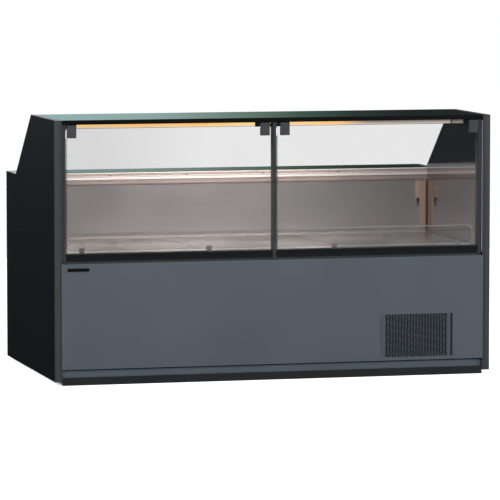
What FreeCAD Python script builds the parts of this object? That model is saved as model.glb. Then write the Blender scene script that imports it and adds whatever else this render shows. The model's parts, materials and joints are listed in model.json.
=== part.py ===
"""Refrigerated deli case: a free-standing serve-over display with lift-up front glass.

Frame: +X runs along the case to the customer's right, -Y is the customer side, +Z is up.
The origin is on the floor at the centre of the footprint. Millimetres throughout.
Depths are given as d, counted back from the customer-side front plane.
"""
import FreeCAD, Part
import math
import os

# ---- driving dimensions: x from the middle, d from the front plane, z from the floor --
LENGTH = 2080.0          # over the end panels
DEPTH = 1150.0           # front plane to rear edge of the end panels
HEIGHT = 1216.0          # floor to top glass
WORKTOP_Z = 914.0        # service-side worktop height
WORKTOP_T = 11.0
CARRIER_H = 27.0         # folded carrier under the worktop
SHEET = 1.5

END_T = 34.0             # end panel thickness
SKIN = 1.2               # outer sheet of an end panel
LINER = 1.5              # inner sheet of an end panel
TOP_D = 541.0            # depth of the flat top of the end panels
STEP_D = 915.0           # depth where the end panel slope meets the worktop step
PANEL_FOOT_Z = 17.0      # bottom edge of the end panels
EDGE_T = 3.0             # aluminium edging on the end panels
TRIM_D = 12.0            # depth of the front corner trims

PLINTH_Z = 35.5
KICK_Z = (26.0, 65.0)
PANEL_Z = (74.5, 558.0)
STRIP_Z = (558.0, 567.0)
SILL_Z = (567.0, 604.0)
SILL_D = 14.0
LIP_Z = 1197.0           # underside of the black top front edge
SHELF_Z = 1204.5         # underside of the top profile behind that edge
TOP_GLASS_T = 8.0
BEAM_D = (515.0, 541.0)  # rear roof beam
BEAM_Z = (1148.0, 1208.0)

POST_W = 16.0
POST_D = (12.0, 54.0)
POST_HEAD_Z = (1168.0, 1204.0)
END_POST_X = 993.0       # centre of an end post

PANE_T = 6.0
PANE_D = 4.5             # depth of the pane's outer face
PANE_Z = (598.0, 1193.0)
PANE_X = (13.0, 980.0)   # inner and outer edge of a pane
PIVOT_D = 19.0
PIVOT_Z = 1181.0
PIN_R = 4.0
RUN_FIT = 0.05           # radial running clearance
HINGE_W = 44.0
HINGE_Z = (1134.0, 1193.0)
HINGE_X = (47.5, 959.0)  # hinge plate centres
ARM_T = 8.0              # thickness of a hinge bracket

DECK_Z = 598.0           # top of the display deck
DECK_D = (100.0, 880.0)
DECK_X = (-1001.0, 1001.0)
DECK_COUNT = 3
DECK_FOLD = 18.0         # turned-down edge of a deck plate
GUARD_D = (60.0, 64.0)   # clear guard behind the panes
GUARD_Z = (611.0, 697.0)
TUB_D = (88.0, 905.0)    # inside front and rear faces of the insulated tub
TUB_Z = (430.0, 566.0)
TUB_T = 1.2
FOAM_T = 45.0
DRAIN = (0.0, 740.0)     # x and d
DRAIN_R = 16.0
DRAIN_BORE_R = 13.5
REAR_WALL_Z = (566.0, 857.0)
RAIL_FACE_D = 900.0      # front of the ridged rail below the worktop nose
RAIL_BACK_D = 912.0
RAIL_Z = (876.0, 912.0)  # ridged part of that rail
REAR_D = 1128.0          # service-side face of the rear panel

FRAME_Z = (56.0, 96.0)   # welded base frame
FRAME_D = (60.0, 1060.0)  # front faces of its two long tubes
TUBE = 40.0
TUBE_WALL = 2.5
FOOT_X = (-900.0, 0.0, 900.0)

VENT_X = (505.0, 862.0)  # perforated field in the front panel
VENT_Z = (90.0, 289.0)
SLOT = (24.6, 4.2)       # slot length and height
SLOT_PITCH = (28.6, 5.4)

EVAP_FAN = (420.0, 440.0, 498.0, 52.0)      # x, d, z, radius; one either side of the middle
COND_FAN = (683.0, 142.0, 222.0, 96.0)      # x, d, z, radius
SHAFT_R = 4.0
EVAP_X = 860.0           # half length of the evaporator
EVAP_D = (560.0, 700.0)
EVAP_Z = (452.0, 556.0)
COND_X = (520.0, 846.0)
COND_D = (62.0, 122.0)
COND_Z = (112.0, 332.0)
SHROUD_X = (540.0, 826.0)
COMPRESSOR = (700.0, 430.0)                 # x and d
COMPRESSOR_R = 84.0
TRAY_X = 334.0           # half width of the condensate tray
TRAY_D0 = 640.0
TRAY_Z = (96.3, 150.0)

FASCIA_X = (590.0, 900.0)
FASCIA_Z = (740.0, 835.0)
FASCIA_T = 14.0
DISPLAY_X = (608.0, 672.0)
DISPLAY_Z = (782.0, 818.0)
KEYS = {"key_down": 622.0, "key_set": 640.0, "key_up": 658.0}
KEY_R = 4.0
KEY_Z = 766.0
SWITCH_X = {"main_switch": 860.0, "light_switch": 815.0}
SWITCH_SIZE = (20.0, 32.0)
SWITCH_Z = 787.0
GLAND = (930.0, 140.0)   # x and z

# ---- derived -------------------------------------------------------------------------
HALF = LENGTH / 2
FRONT = -DEPTH / 2
INNER = HALF - END_T     # inner face of an end panel


# ---- helpers -------------------------------------------------------------------------
def box(x0, x1, d0, d1, z0, z1):
    corner = FreeCAD.Vector(min(x0, x1), FRONT + d0, z0)
    return Part.makeBox(abs(x1 - x0), d1 - d0, z1 - z0, corner)


def rod(axis, length, r, x, d, z):
    """Cylinder that starts at (x, d, z) and runs along +axis."""
    return Part.makeCylinder(r, length, FreeCAD.Vector(x, FRONT + d, z), FreeCAD.Vector(*axis))


def rod_x(x0, x1, r, d, z):
    return rod((1, 0, 0), abs(x1 - x0), r, min(x0, x1), d, z)


def rod_y(d0, d1, r, x, z):
    return rod((0, 1, 0), d1 - d0, r, x, d0, z)


def rod_z(z0, z1, r, x, d):
    return rod((0, 0, 1), z1 - z0, r, x, d, z0)


def hex_nut(z0, z1, across, x, d):
    corners = [60 * i for i in range(7)]
    radius = across / math.sqrt(3)
    ring = [FreeCAD.Vector(x + radius * math.cos(math.radians(a)),
                           FRONT + d + radius * math.sin(math.radians(a)), z0) for a in corners]
    return Part.Face(Part.makePolygon(ring)).extrude(FreeCAD.Vector(0, 0, z1 - z0))


def section_x(points, x0, x1):
    """Extrude a closed (d, z) outline along X."""
    ring = [FreeCAD.Vector(min(x0, x1), FRONT + d, z) for d, z in points]
    face = Part.Face(Part.makePolygon(ring + ring[:1]))
    return face.extrude(FreeCAD.Vector(abs(x1 - x0), 0, 0))


def section_z(points, z0, z1):
    """Extrude a closed (x, d) outline upward."""
    ring = [FreeCAD.Vector(x, FRONT + d, z0) for x, d in points]
    face = Part.Face(Part.makePolygon(ring + ring[:1]))
    return face.extrude(FreeCAD.Vector(0, 0, z1 - z0))


def fuse(shapes):
    return shapes[0].multiFuse(shapes[1:]).removeSplitter() if len(shapes) > 1 else shapes[0]


def group(shapes):
    """Separate solids of one node."""
    return Part.makeCompound(shapes)


def mirror(shape):
    """The same piece at the other end of the case."""
    return shape.mirror(FreeCAD.Vector(0, 0, 0), FreeCAD.Vector(1, 0, 0))


def round_edges(shape, radius, test):
    return shape.makeFillet(radius, [e for e in shape.Edges if test(e.BoundBox)])


def tray(x0, x1, d0, d1, z0, z1, t):
    """Open-topped sheet tray."""
    return box(x0, x1, d0, d1, z0, z1).cut(box(x0 + t, x1 - t, d0 + t, d1 - t, z0 + t, z1 + 1))


def hollow_x(x0, x1, d0, d1, z0, z1, t):
    return box(x0, x1, d0, d1, z0, z1).cut(box(x0, x1, d0 + t, d1 - t, z0 + t, z1 - t))


# ---- end panels ----------------------------------------------------------------------
def side_outline(inset=0.0):
    """Outline of an end panel, moved in on the top, slope, step and rear edges."""
    turn = math.atan2(HEIGHT - WORKTOP_Z, STEP_D - TOP_D)
    shift = inset * math.tan(turn / 2)
    return [(TRIM_D, PANEL_FOOT_Z), (DEPTH - inset, PANEL_FOOT_Z), (DEPTH - inset, WORKTOP_Z - inset),
            (STEP_D - shift, WORKTOP_Z - inset), (TOP_D - shift, HEIGHT - inset),
            (TRIM_D, HEIGHT - inset)]


def shrunk_outline(t):
    """Panel outline inside the edging, moved in by t on every side."""
    points = side_outline(EDGE_T + t)
    return [(max(d, TRIM_D + t) if d < TOP_D - 50 else d, max(z, PANEL_FOOT_Z + t)) for d, z in points]


def end_skin():
    """Sheet-steel tray: outer face with returned edges."""
    outer = section_x(side_outline(EDGE_T), INNER + LINER, HALF)
    hollow = section_x(shrunk_outline(SKIN), INNER + LINER, HALF - SKIN)
    return outer.cut(hollow)


def end_core():
    return section_x(shrunk_outline(SKIN), INNER + LINER, HALF - SKIN)


def end_liner():
    return section_x(side_outline(EDGE_T), INNER, INNER + LINER)


def edge_trim():
    """Edging over the top, slope, step and rear edge."""
    return section_x(side_outline(), INNER, HALF).cut(section_x(side_outline(EDGE_T), INNER, HALF))


def front_trim():
    """Corner extrusion with a vertical shadow groove."""
    groove = 3.0
    groove_x = INNER + 7.0
    outline = [(INNER, TRIM_D), (INNER, 0), (groove_x, 0), (groove_x, groove),
               (groove_x + groove, groove), (groove_x + groove, 0), (HALF, 0), (HALF, TRIM_D)]
    return section_z(outline, PANEL_FOOT_Z, HEIGHT)


# ---- front ---------------------------------------------------------------------------
def slot_face(x0, x1, z):
    """Obround slot outline on the front plane."""
    r = SLOT[1] / 2
    low, high = z - r, z + r
    a, b = x0 + r, x1 - r
    at = lambda x, h: FreeCAD.Vector(x, FRONT, h)
    return Part.Wire([Part.makeLine(at(a, low), at(b, low)),
                      Part.Arc(at(b, low), at(x1, z), at(b, high)).toShape(),
                      Part.makeLine(at(b, high), at(a, high)),
                      Part.Arc(at(a, high), at(x0, z), at(a, low)).toShape()])


def vent_slots():
    """Staggered rows of slots, cut short at the edges of the field."""
    length, height = SLOT
    pitch_x, pitch_z = SLOT_PITCH
    shortest = 2 * height
    rows = int((VENT_Z[1] - VENT_Z[0]) / pitch_z)
    slots = []
    for row in range(rows + 1):
        z = VENT_Z[0] + height / 2 + row * pitch_z
        x = VENT_X[0] - (row % 2) * pitch_x / 2
        while x < VENT_X[1]:
            left = max(x, VENT_X[0])
            right = min(x + length, VENT_X[1])
            if right - left >= shortest:
                slots.append(slot_face(left, right, z))
            x += pitch_x
    return slots


def front_panel():
    """Perforated sheet with returned top, bottom and end edges."""
    ret = 20.0
    corners = [(-INNER, PANEL_Z[0]), (INNER, PANEL_Z[0]), (INNER, PANEL_Z[1]), (-INNER, PANEL_Z[1])]
    ring = [FreeCAD.Vector(x, FRONT, z) for x, z in corners]
    outline = Part.makePolygon(ring + ring[:1])
    face = Part.Face([outline] + vent_slots())
    sheet = face.extrude(FreeCAD.Vector(0, SHEET, 0))
    rim = box(-INNER, INNER, 0, ret, *PANEL_Z)
    rim = rim.cut(box(SHEET - INNER, INNER - SHEET, 0, ret, PANEL_Z[0] + SHEET, PANEL_Z[1] - SHEET))
    return fuse([sheet, rim])


def kick_panel():
    face_d, depth, short = 30.0, 25.0, 1.0
    outline = [(face_d, KICK_Z[0]), (face_d, KICK_Z[1]), (face_d + depth, KICK_Z[1]),
               (face_d + depth, KICK_Z[1] - SHEET), (face_d + SHEET, KICK_Z[1] - SHEET),
               (face_d + SHEET, KICK_Z[0])]
    return section_x(outline, -INNER, INNER - short)


def plinth():
    """Moulded skirting between the corner trims, a channel open to the rear."""
    t, depth, end_gap = 3.0, 11.5, 3.0
    outline = [(0, 0), (0, PLINTH_Z), (depth, PLINTH_Z), (depth, PLINTH_Z - t), (t, PLINTH_Z - t),
               (t, t), (depth, t), (depth, 0)]
    return section_x(outline, -INNER, INNER - end_gap)


def sill_spans():
    """The two stretches of sill between the posts."""
    half_post = POST_W / 2
    right = (half_post, END_POST_X - half_post)
    return [(-right[1], -right[0]), right]


def sill_strips():
    return group([box(x0, x1, SILL_D, POST_D[1], *STRIP_Z) for x0, x1 in sill_spans()])


def sill_bumper():
    """Black rounded sill below the panes."""
    top_r, foot_r = 7.0, 4.0
    parts = []
    for x0, x1 in sill_spans():
        bar = box(x0, x1, SILL_D, POST_D[1], *SILL_Z)
        front = FRONT + SILL_D
        bar = round_edges(bar, top_r, lambda b: b.YMax < front + 0.1 and b.ZMin > SILL_Z[1] - 0.1)
        bar = round_edges(bar, foot_r, lambda b: b.YMax < front + 0.1 and b.ZMax < SILL_Z[0] + 0.1)
        parts.append(bar)
    return group(parts)


# ---- posts and top -------------------------------------------------------------------
def post(x, head_x0, head_x1):
    half = POST_W / 2
    stem = box(x - half, x + half, *POST_D, STRIP_Z[0], POST_HEAD_Z[0])
    front = FRONT + POST_D[0]
    stem = round_edges(stem, 2.0, lambda b: b.YMax < front + 0.1 and b.ZLength > 100)
    head = box(head_x0, head_x1, *POST_D, *POST_HEAD_Z)
    return fuse([stem, head])


def end_post():
    return post(END_POST_X, END_POST_X - 10.0, END_POST_X + 8.0)


def centre_post():
    return post(0.0, -10.0, 10.0)


def top_profile():
    """Front top extrusion: black edge, glass shelf and hinge rail in one."""
    lip_t, shelf_d = 3.0, 72.0
    rail_d, rail_z, wall = 54.5, 1192.0, 2.0
    glass_z = HEIGHT - TOP_GLASS_T
    outline = [(0, LIP_Z), (0, HEIGHT), (lip_t, HEIGHT), (lip_t, glass_z), (shelf_d, glass_z),
               (shelf_d, rail_z), (rail_d, rail_z), (rail_d, SHELF_Z), (lip_t, SHELF_Z), (lip_t, LIP_Z)]
    solid = section_x(outline, -INNER, INNER)
    hollow = box(-INNER, INNER, rail_d + wall, shelf_d - wall, rail_z + wall, SHELF_Z)
    return solid.cut(hollow)


def top_glass():
    return box(-INNER, INNER, 3.0, TOP_D, HEIGHT - TOP_GLASS_T, HEIGHT)


def light_beam():
    """Rear roof beam that carries the lighting."""
    return hollow_x(-INNER, INNER, *BEAM_D, *BEAM_Z, 2.0)


def led_diffuser():
    bar = box(-INNER + 4, INNER - 4, BEAM_D[0] - 9, BEAM_D[0], BEAM_Z[0] + 2, BEAM_Z[1] - 4)
    front = FRONT + BEAM_D[0] - 9
    return round_edges(bar, 4.0, lambda b: b.YMax < front + 0.1 and b.XLength > 100)


# ---- front glass ---------------------------------------------------------------------
def pane(side):
    return box(side * PANE_X[0], side * PANE_X[1], PANE_D, PANE_D + PANE_T, *PANE_Z)


def hinge_places():
    """Plate centre and the direction from plate to post, for each hinge of the right pane."""
    return [(HINGE_X[0], -1), (HINGE_X[1], 1)]


def hinge_leaf(x, to_post):
    """Clamp plates either side of the pane, with the knuckle on the inner one."""
    t, half = 3.0, HINGE_W / 2
    outer = box(x - half, x + half, PANE_D - t, PANE_D, *HINGE_Z)
    front = FRONT + PANE_D - t
    outer = round_edges(outer, 1.0, lambda b: b.YMax < front + 0.1)
    back = PANE_D + PANE_T
    inner_low = box(x - half, x + half, back, back + t, HINGE_Z[0], PIVOT_Z - 12)
    a = x + to_post * (half - 1)
    b = x - to_post * (half - ARM_T - 3)
    inner_high = box(a, b, back, back + t, PIVOT_Z - 12, HINGE_Z[1])
    barrel = rod_x(a, b, 6.5, PIVOT_D, PIVOT_Z)
    inner = fuse([inner_low, inner_high, barrel])
    return [outer, inner.cut(rod_x(a, b, PIN_R + RUN_FIT, PIVOT_D, PIVOT_Z))]


def hinge_leaves(side):
    solids = []
    for x, to_post in hinge_places():
        solids += hinge_leaf(x, to_post)
    leaves = group(solids)
    return leaves if side > 0 else mirror(leaves)


def hinge_bracket(x, to_post):
    """Black arm hung from the hinge rail, carrying the far end of the pivot."""
    half = HINGE_W / 2
    a = x - to_post * half
    b = a + to_post * ARM_T
    lug = rod_x(a, b, 7.0, PIVOT_D, PIVOT_Z)
    arm = box(a, b, PIVOT_D, 46.0, PIVOT_Z - 7, PIVOT_Z + 7)
    foot = box(a, b, 40.0, 54.5, PIVOT_Z - 7, SHELF_Z)
    return fuse([lug, arm, foot]).cut(rod_x(a, b, PIN_R, PIVOT_D, PIVOT_Z))


def hinge_pin(x, to_post, head_x):
    """Shouldered pivot pin from the post head, through the knuckle, into the bracket."""
    half = HINGE_W / 2
    far = x - to_post * half
    near = x + to_post * (half - 1) + to_post * 0.3
    return fuse([rod_x(far, near, PIN_R, PIVOT_D, PIVOT_Z), rod_x(near, head_x, 6.0, PIVOT_D, PIVOT_Z)])


def hinge_brackets():
    right = [hinge_bracket(x, to_post) for x, to_post in hinge_places()]
    return group(right + [mirror(s) for s in right])


def hinge_pins():
    heads = [10.0, END_POST_X - 10.0]
    right = [hinge_pin(x, to_post, head) for (x, to_post), head in zip(hinge_places(), heads)]
    return group(right + [mirror(s) for s in right])


# ---- worktop and rear wall -----------------------------------------------------------
def worktop():
    slab = box(-INNER, INNER, STEP_D, DEPTH, WORKTOP_Z - WORKTOP_T, WORKTOP_Z)
    return round_edges(slab, 3.0, lambda b: b.XLength > 100 and b.ZMin > WORKTOP_Z - 0.1)


def worktop_carrier():
    """Folded tray under the worktop, joining the rear wall to the rear panel."""
    z1 = WORKTOP_Z - WORKTOP_T
    z0 = z1 - CARRIER_H
    outline = [(RAIL_BACK_D, z0), (RAIL_BACK_D, z1), (REAR_D, z1), (REAR_D, z0), (REAR_D - SHEET, z0),
               (REAR_D - SHEET, z1 - SHEET), (RAIL_BACK_D + SHEET, z1 - SHEET), (RAIL_BACK_D + SHEET, z0)]
    return section_x(outline, -INNER, INNER)


def worktop_rail():
    """Ridged extrusion along the front of the worktop, with a plain flange below the ridges."""
    ridges, depth = 5, 2.0
    face, back = RAIL_FACE_D, RAIL_BACK_D
    z0, z1 = RAIL_Z
    pitch = (z1 - z0) / ridges
    outline = [(back, z0), (back, REAR_WALL_Z[1]), (face + depth, REAR_WALL_Z[1])]
    for i in range(ridges):
        z = z0 + i * pitch
        outline += [(face + depth, z), (face, z + pitch * 0.25), (face, z + pitch * 0.75)]
    outline += [(face + depth, z1), (STEP_D, z1), (STEP_D, z1 - 4), (back, z1 - 4)]
    return section_x(outline, -INNER, INNER)


def rear_wall():
    """Rear inner wall of the display, with its top edge turned forward."""
    d1 = TUB_D[1]
    top = REAR_WALL_Z[1]
    outline = [(d1 - SHEET, REAR_WALL_Z[0]), (d1 - SHEET, top - SHEET), (d1 - 8, top - SHEET),
               (d1 - 8, top), (d1, top), (d1, REAR_WALL_Z[0])]
    return section_x(outline, -INNER, INNER)


# ---- insulated tub and deck ----------------------------------------------------------
def tub_liner():
    shell = tray(-INNER, INNER, *TUB_D, *TUB_Z, TUB_T)
    return shell.cut(rod_z(TUB_Z[0] - 1, TUB_Z[0] + 3, DRAIN_BORE_R, *DRAIN))


def tub_foam():
    floor = box(-INNER, INNER, TUB_D[0] - FOAM_T, TUB_D[1] + FOAM_T, TUB_Z[0] - FOAM_T, TUB_Z[0])
    floor = floor.cut(rod_z(TUB_Z[0] - FOAM_T, TUB_Z[0], DRAIN_R + 0.5, *DRAIN))
    front = box(-INNER, INNER, TUB_D[0] - FOAM_T, TUB_D[0], TUB_Z[0], PANEL_Z[1])
    rear = box(-INNER, INNER, TUB_D[1], TUB_D[1] + FOAM_T, TUB_Z[0], REAR_WALL_Z[1])
    return fuse([floor, front, rear])


def return_grille():
    """Air return between sill and deck, with tabs that hold the air guard."""
    d0, d1, z0, z1 = POST_D[1], 96.0, TUB_Z[1], 590.0
    outline = [(d0, z0), (d0, z1), (d1, z1), (d1, z0), (d1 - SHEET, z0), (d1 - SHEET, z1 - SHEET),
               (d0 + SHEET, z1 - SHEET), (d0 + SHEET, z0)]
    channel = section_x(outline, -INNER + 1, INNER - 1)
    pitch, width = 24.0, 14.0
    count = int(2 * (INNER - 20) / pitch)
    start = -pitch * (count - 1) / 2
    slots = [box(start + i * pitch - width / 2, start + i * pitch + width / 2, 68.0, 90.0, z1 - 3, z1 + 1)
             for i in range(count)]
    channel = channel.cut(group(slots))
    tabs = []
    for x in (-900.0, -300.0, 300.0, 900.0):
        tabs.append(box(x - 12, x + 12, GUARD_D[0] - 2, GUARD_D[0], z1, GUARD_Z[0] + 14))
        tabs.append(box(x - 12, x + 12, GUARD_D[1], GUARD_D[1] + 2, z1, GUARD_Z[0] + 14))
    return fuse([channel] + tabs)


def air_guard():
    """Clear guard behind the panes, with rounded corners."""
    sheet = box(-973.0, 973.0, *GUARD_D, *GUARD_Z)
    return round_edges(sheet, 28.0, lambda b: b.YLength > 3 and b.XLength < 0.1 and b.ZLength < 0.1)


def deck_plate(i):
    """Lift-out display plate with turned-down edges."""
    gap = 3.0
    width = (DECK_X[1] - DECK_X[0] - gap * (DECK_COUNT - 1)) / DECK_COUNT
    x0 = DECK_X[0] + i * (width + gap)
    plate = box(x0, x0 + width, *DECK_D, DECK_Z - DECK_FOLD, DECK_Z)
    inside = box(x0 + SHEET, x0 + width - SHEET, DECK_D[0] + SHEET, DECK_D[1] - SHEET,
                 DECK_Z - DECK_FOLD, DECK_Z - SHEET)
    plate = plate.cut(inside)
    low = FRONT + DECK_D[0] + 0.1
    high = FRONT + DECK_D[1] - 0.1
    edges = lambda b: b.ZMin > DECK_Z - 0.1 and b.XLength > 100 and (b.YMax < low or b.YMin > high)
    return round_edges(plate, 1.0, edges)


def deck_bearers():
    """Two rails on legs that carry the deck plates."""
    top = DECK_Z - DECK_FOLD
    flange = 25.0
    parts = []
    for d in (112.0, 838.0):
        parts.append(box(-INNER + 3, INNER - 3, d, d + 30, top - 3, top))
        parts.append(box(-INNER + 3, INNER - 3, d, d + 3, top - flange, top - 3))
        for x in (-960.0, -320.0, 320.0, 960.0):
            parts.append(box(x - 15, x + 15, d, d + 3, TUB_Z[0] + TUB_T, top - flange))
    return fuse(parts)


# ---- refrigeration -------------------------------------------------------------------
def finned_coil(x0, x1, d0, d1, z0, z1, fins, rows):
    """Finned block: fins across X, tubes along X, return bends at the ends."""
    fin_t = 1.2
    tube_r = 4.5
    bend_room = 22.0
    a, b = x0 + bend_room, x1 - bend_room
    step = (b - a - fin_t) / (fins - 1)
    parts = [box(a + i * step, a + i * step + fin_t, d0, d1, z0, z1) for i in range(fins)]
    columns = (d0 + (d1 - d0) * 0.3, d0 + (d1 - d0) * 0.7)
    pitch = (z1 - z0) / rows
    for i in range(rows):
        z = z0 + pitch * (i + 0.5)
        for d in columns:
            parts.append(rod_x(a - 8, b + 8, tube_r, d, z))
        for x in (a - 8, b + 2):
            parts.append(box(x, x + 6, columns[0], columns[1], z - tube_r * 0.8, z + tube_r * 0.8))
    plates = [box(x, x + 2.0, d0, d1, z0, z1) for x in (a - 2.0, b)]
    return fuse(parts + plates)


def fan(x, d, z, radius):
    """Axial fan: hub with pitched blades, bored for the motor shaft. Axis along Y."""
    hub_r, hub_t, blades = radius * 0.3, 22.0, 5
    hub = rod_y(d, d + hub_t, hub_r, x, z)
    hub = round_edges(hub, 4.0, lambda b: b.YMax < FRONT + d + 0.1)
    centre = FreeCAD.Vector(x, FRONT + d + hub_t / 2, z)
    parts = [hub]
    for i in range(blades):
        chord = radius * 0.62
        blade = Part.makeBox(chord, 2.0, radius - hub_r + 5, FreeCAD.Vector(-chord / 2, -1.0, hub_r - 5))
        blade = blade.makeFillet(chord * 0.3, [e for e in blade.Edges
                                               if e.BoundBox.YLength > 1.9 and e.BoundBox.ZMin > radius - 1])
        blade.rotate(FreeCAD.Vector(0, 0, 0), FreeCAD.Vector(0, 0, 1), 24)
        blade.rotate(FreeCAD.Vector(0, 0, 0), FreeCAD.Vector(0, 1, 0), 360.0 * i / blades)
        blade.translate(centre)
        parts.append(blade)
    sweep = rod_y(d - radius, d + radius, radius, x, z)
    return fuse(parts).common(sweep).cut(rod_y(d - 1, d + hub_t + 1, SHAFT_R + RUN_FIT, x, z))


def fan_mount(x, d, z, radius, motor_len):
    """Cowl ring, three struts, motor and shaft for one fan."""
    ring_r = radius + 5
    ring = rod_y(d - 6, d + 34, ring_r + 2.5, x, z).cut(rod_y(d - 6, d + 34, ring_r, x, z))
    motor_d = d + 26
    motor = rod_y(motor_d, motor_d + motor_len, radius * 0.32, x, z)
    shaft = rod_y(d + 2, motor_d, SHAFT_R, x, z)
    struts = []
    for i in range(3):
        bar = Part.makeBox(8, 4, ring_r + 1, FreeCAD.Vector(-4, 0, 0))
        bar.rotate(FreeCAD.Vector(0, 0, 0), FreeCAD.Vector(0, 1, 0), 30 + 120 * i)
        bar.translate(FreeCAD.Vector(x, FRONT + motor_d + 2, z))
        struts.append(bar)
    return [ring, motor, shaft] + struts


def fan_plate():
    """Evaporator fan baffle with both fan mounts."""
    x, d, z, radius = EVAP_FAN
    plate = box(-EVAP_X - 20, EVAP_X + 20, d + 10, d + 12, TUB_Z[0] + TUB_T, 570.0)
    mounts = []
    for side in (-1, 1):
        plate = plate.cut(rod_y(d, d + 20, radius + 6, side * x, z))
        mounts += fan_mount(side * x, d, z, radius, 34.0)
    return fuse([plate] + mounts)


def evaporator():
    coil = finned_coil(-EVAP_X, EVAP_X, *EVAP_D, *EVAP_Z, 60, 3)
    inset = 23.0
    feet = [box(x - 12, x + 12, EVAP_D[0] + 20, EVAP_D[1] - 20, TUB_Z[0] + TUB_T, EVAP_Z[0])
            for x in (inset - EVAP_X, EVAP_X - inset)]
    return coil.fuse(feet)


def condensing_base():
    return tray(510.0, 900.0, 56.0, 560.0, FRAME_Z[1], FRAME_Z[1] + 16, 2.0)


def condenser():
    coil = finned_coil(*COND_X, *COND_D, *COND_Z, 44, 7)
    feet = [box(x, x + 20, COND_D[0] + 18, COND_D[1] - 12, FRAME_Z[1] + 2, COND_Z[0]) for x in (560.0, 786.0)]
    return coil.fuse(feet)


def condenser_shroud():
    """Fan shroud behind the condenser, on two feet."""
    x, d, z, radius = COND_FAN
    x0, x1 = SHROUD_X
    z0, z1 = COND_Z
    front, wall = COND_D[1] + 2, 2.0
    plate = box(x0, x1, d + 8, d + 10, z0, z1).cut(rod_y(d, d + 20, radius + 6, x, z))
    rim = box(x0, x1, front, d + 8, z0, z1).cut(box(x0 + wall, x1 - wall, front, d + 8, z0 + wall, z1 - wall))
    feet = [box(fx, fx + 24, d - 6, d + 6, FRAME_Z[1] + 2, z0) for fx in (x0 + 20, x1 - 44)]
    return fuse([plate, rim] + fan_mount(x, d, z, radius, 60.0) + feet)


def compressor():
    """Hermetic compressor can on rubber-foot plate."""
    x, d = COMPRESSOR
    r = COMPRESSOR_R
    z0 = FRAME_Z[1] + 2
    foot = box(x - 95, x + 95, d - 70, d + 70, z0, z0 + 12)
    foot = round_edges(foot, 20.0, lambda b: b.ZLength > 11 and b.XLength < 0.1)
    can = rod_z(z0 + 12, z0 + 190, r, x, d)
    can = round_edges(can, 34.0, lambda b: b.ZMin > z0 + 189 and b.XLength > r)
    seam = rod_z(z0 + 92, z0 + 100, r + 4, x, d)
    terminal = box(x + r - 12, x + r + 26, d - 30, d + 30, z0 + 60, z0 + 130)
    stubs = [rod_z(z0 + 150, z0 + 215, 6.0, x - 50, d - 30), rod_z(z0 + 150, z0 + 215, 5.0, x + 50, d - 30)]
    return fuse([foot, can, seam, terminal] + stubs)


def drain_pipe():
    z0, z1 = 166.0, TUB_Z[0]
    return rod_z(z0, z1, DRAIN_R, *DRAIN).cut(rod_z(z0, z1, DRAIN_BORE_R, *DRAIN))


# ---- base ----------------------------------------------------------------------------
def base_frame():
    """Two long box-section rails joined by four cross members."""
    parts = [hollow_x(-INNER, INNER, d, d + TUBE, *FRAME_Z, TUBE_WALL) for d in FRAME_D]
    w = TUBE_WALL
    for x in (-980.0, -340.0, 300.0, 940.0):
        outer = box(x, x + TUBE, FRAME_D[0] + TUBE, FRAME_D[1], *FRAME_Z)
        inner = box(x + w, x + TUBE - w, FRAME_D[0] + TUBE, FRAME_D[1], FRAME_Z[0] + w, FRAME_Z[1] - w)
        parts.append(outer.cut(inner))
    return fuse(parts)


def levelling_feet():
    feet = []
    for x in FOOT_X:
        for tube_d in FRAME_D:
            d = tube_d + TUBE / 2
            pad = rod_z(0, 9, 22.0, x, d)
            pad = round_edges(pad, 2.0, lambda b: b.ZMin > 8.9 and b.XLength > 40)
            stem = rod_z(9, FRAME_Z[0], 6.0, x, d)
            nut = hex_nut(FRAME_Z[0] - 9, FRAME_Z[0], 19.0, x, d)
            feet.append(fuse([pad, stem, nut]))
    return group(feet)


def condensate_tray():
    """Evaporation tray that slides out at the rear, with a pull lip."""
    pan = tray(-TRAY_X, TRAY_X, TRAY_D0, REAR_D - 2, *TRAY_Z, 2.0)
    face = box(-TRAY_X - 8, TRAY_X + 8, REAR_D + 0.5, REAR_D + 3.5, TRAY_Z[0] - 2, TRAY_Z[1] + 8)
    neck = box(-TRAY_X, TRAY_X, REAR_D - 2, REAR_D + 0.5, TRAY_Z[0], TRAY_Z[1] - 20)
    lip = box(-60.0, 60.0, REAR_D + 3.5, REAR_D + 17, TRAY_Z[1] + 2, TRAY_Z[1] + 5)
    return fuse([pan, neck, face, lip])


# ---- service side --------------------------------------------------------------------
def louvres():
    """Slots punched in the rear panel behind the condensing unit, and their hoods."""
    slots, hoods = [], []
    for column in (600.0, 760.0):
        for i in range(9):
            z = 200.0 + i * 24
            slots.append(box(column, column + 130, REAR_D - 3, REAR_D + 1, z, z + 7))
            hood = [(REAR_D, z + 12), (REAR_D, z + 7), (REAR_D + 6, z - 1), (REAR_D + 7, z)]
            hoods.append(section_x(hood, column, column + 130))
    return slots, hoods


def rear_panel():
    z0, z1 = FRAME_Z[1] + 1, WORKTOP_Z - WORKTOP_T - CARRIER_H
    sheet = box(-INNER, INNER, REAR_D - SHEET, REAR_D, z0, z1)
    gap = box(-TRAY_X - 2, TRAY_X + 2, REAR_D - 3, REAR_D + 1, z0 - 1, TRAY_Z[1] + 3)
    slots, hoods = louvres()
    well = box(FASCIA_X[0] + 8, FASCIA_X[1] - 8, REAR_D - 3, REAR_D + 1, FASCIA_Z[0] + 8, FASCIA_Z[1] - 8)
    gland_hole = rod_y(REAR_D - 3, REAR_D + 1, 8.0, *GLAND)
    sheet = sheet.cut(group([gap, well, gland_hole] + slots))
    return fuse([sheet] + hoods)


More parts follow.
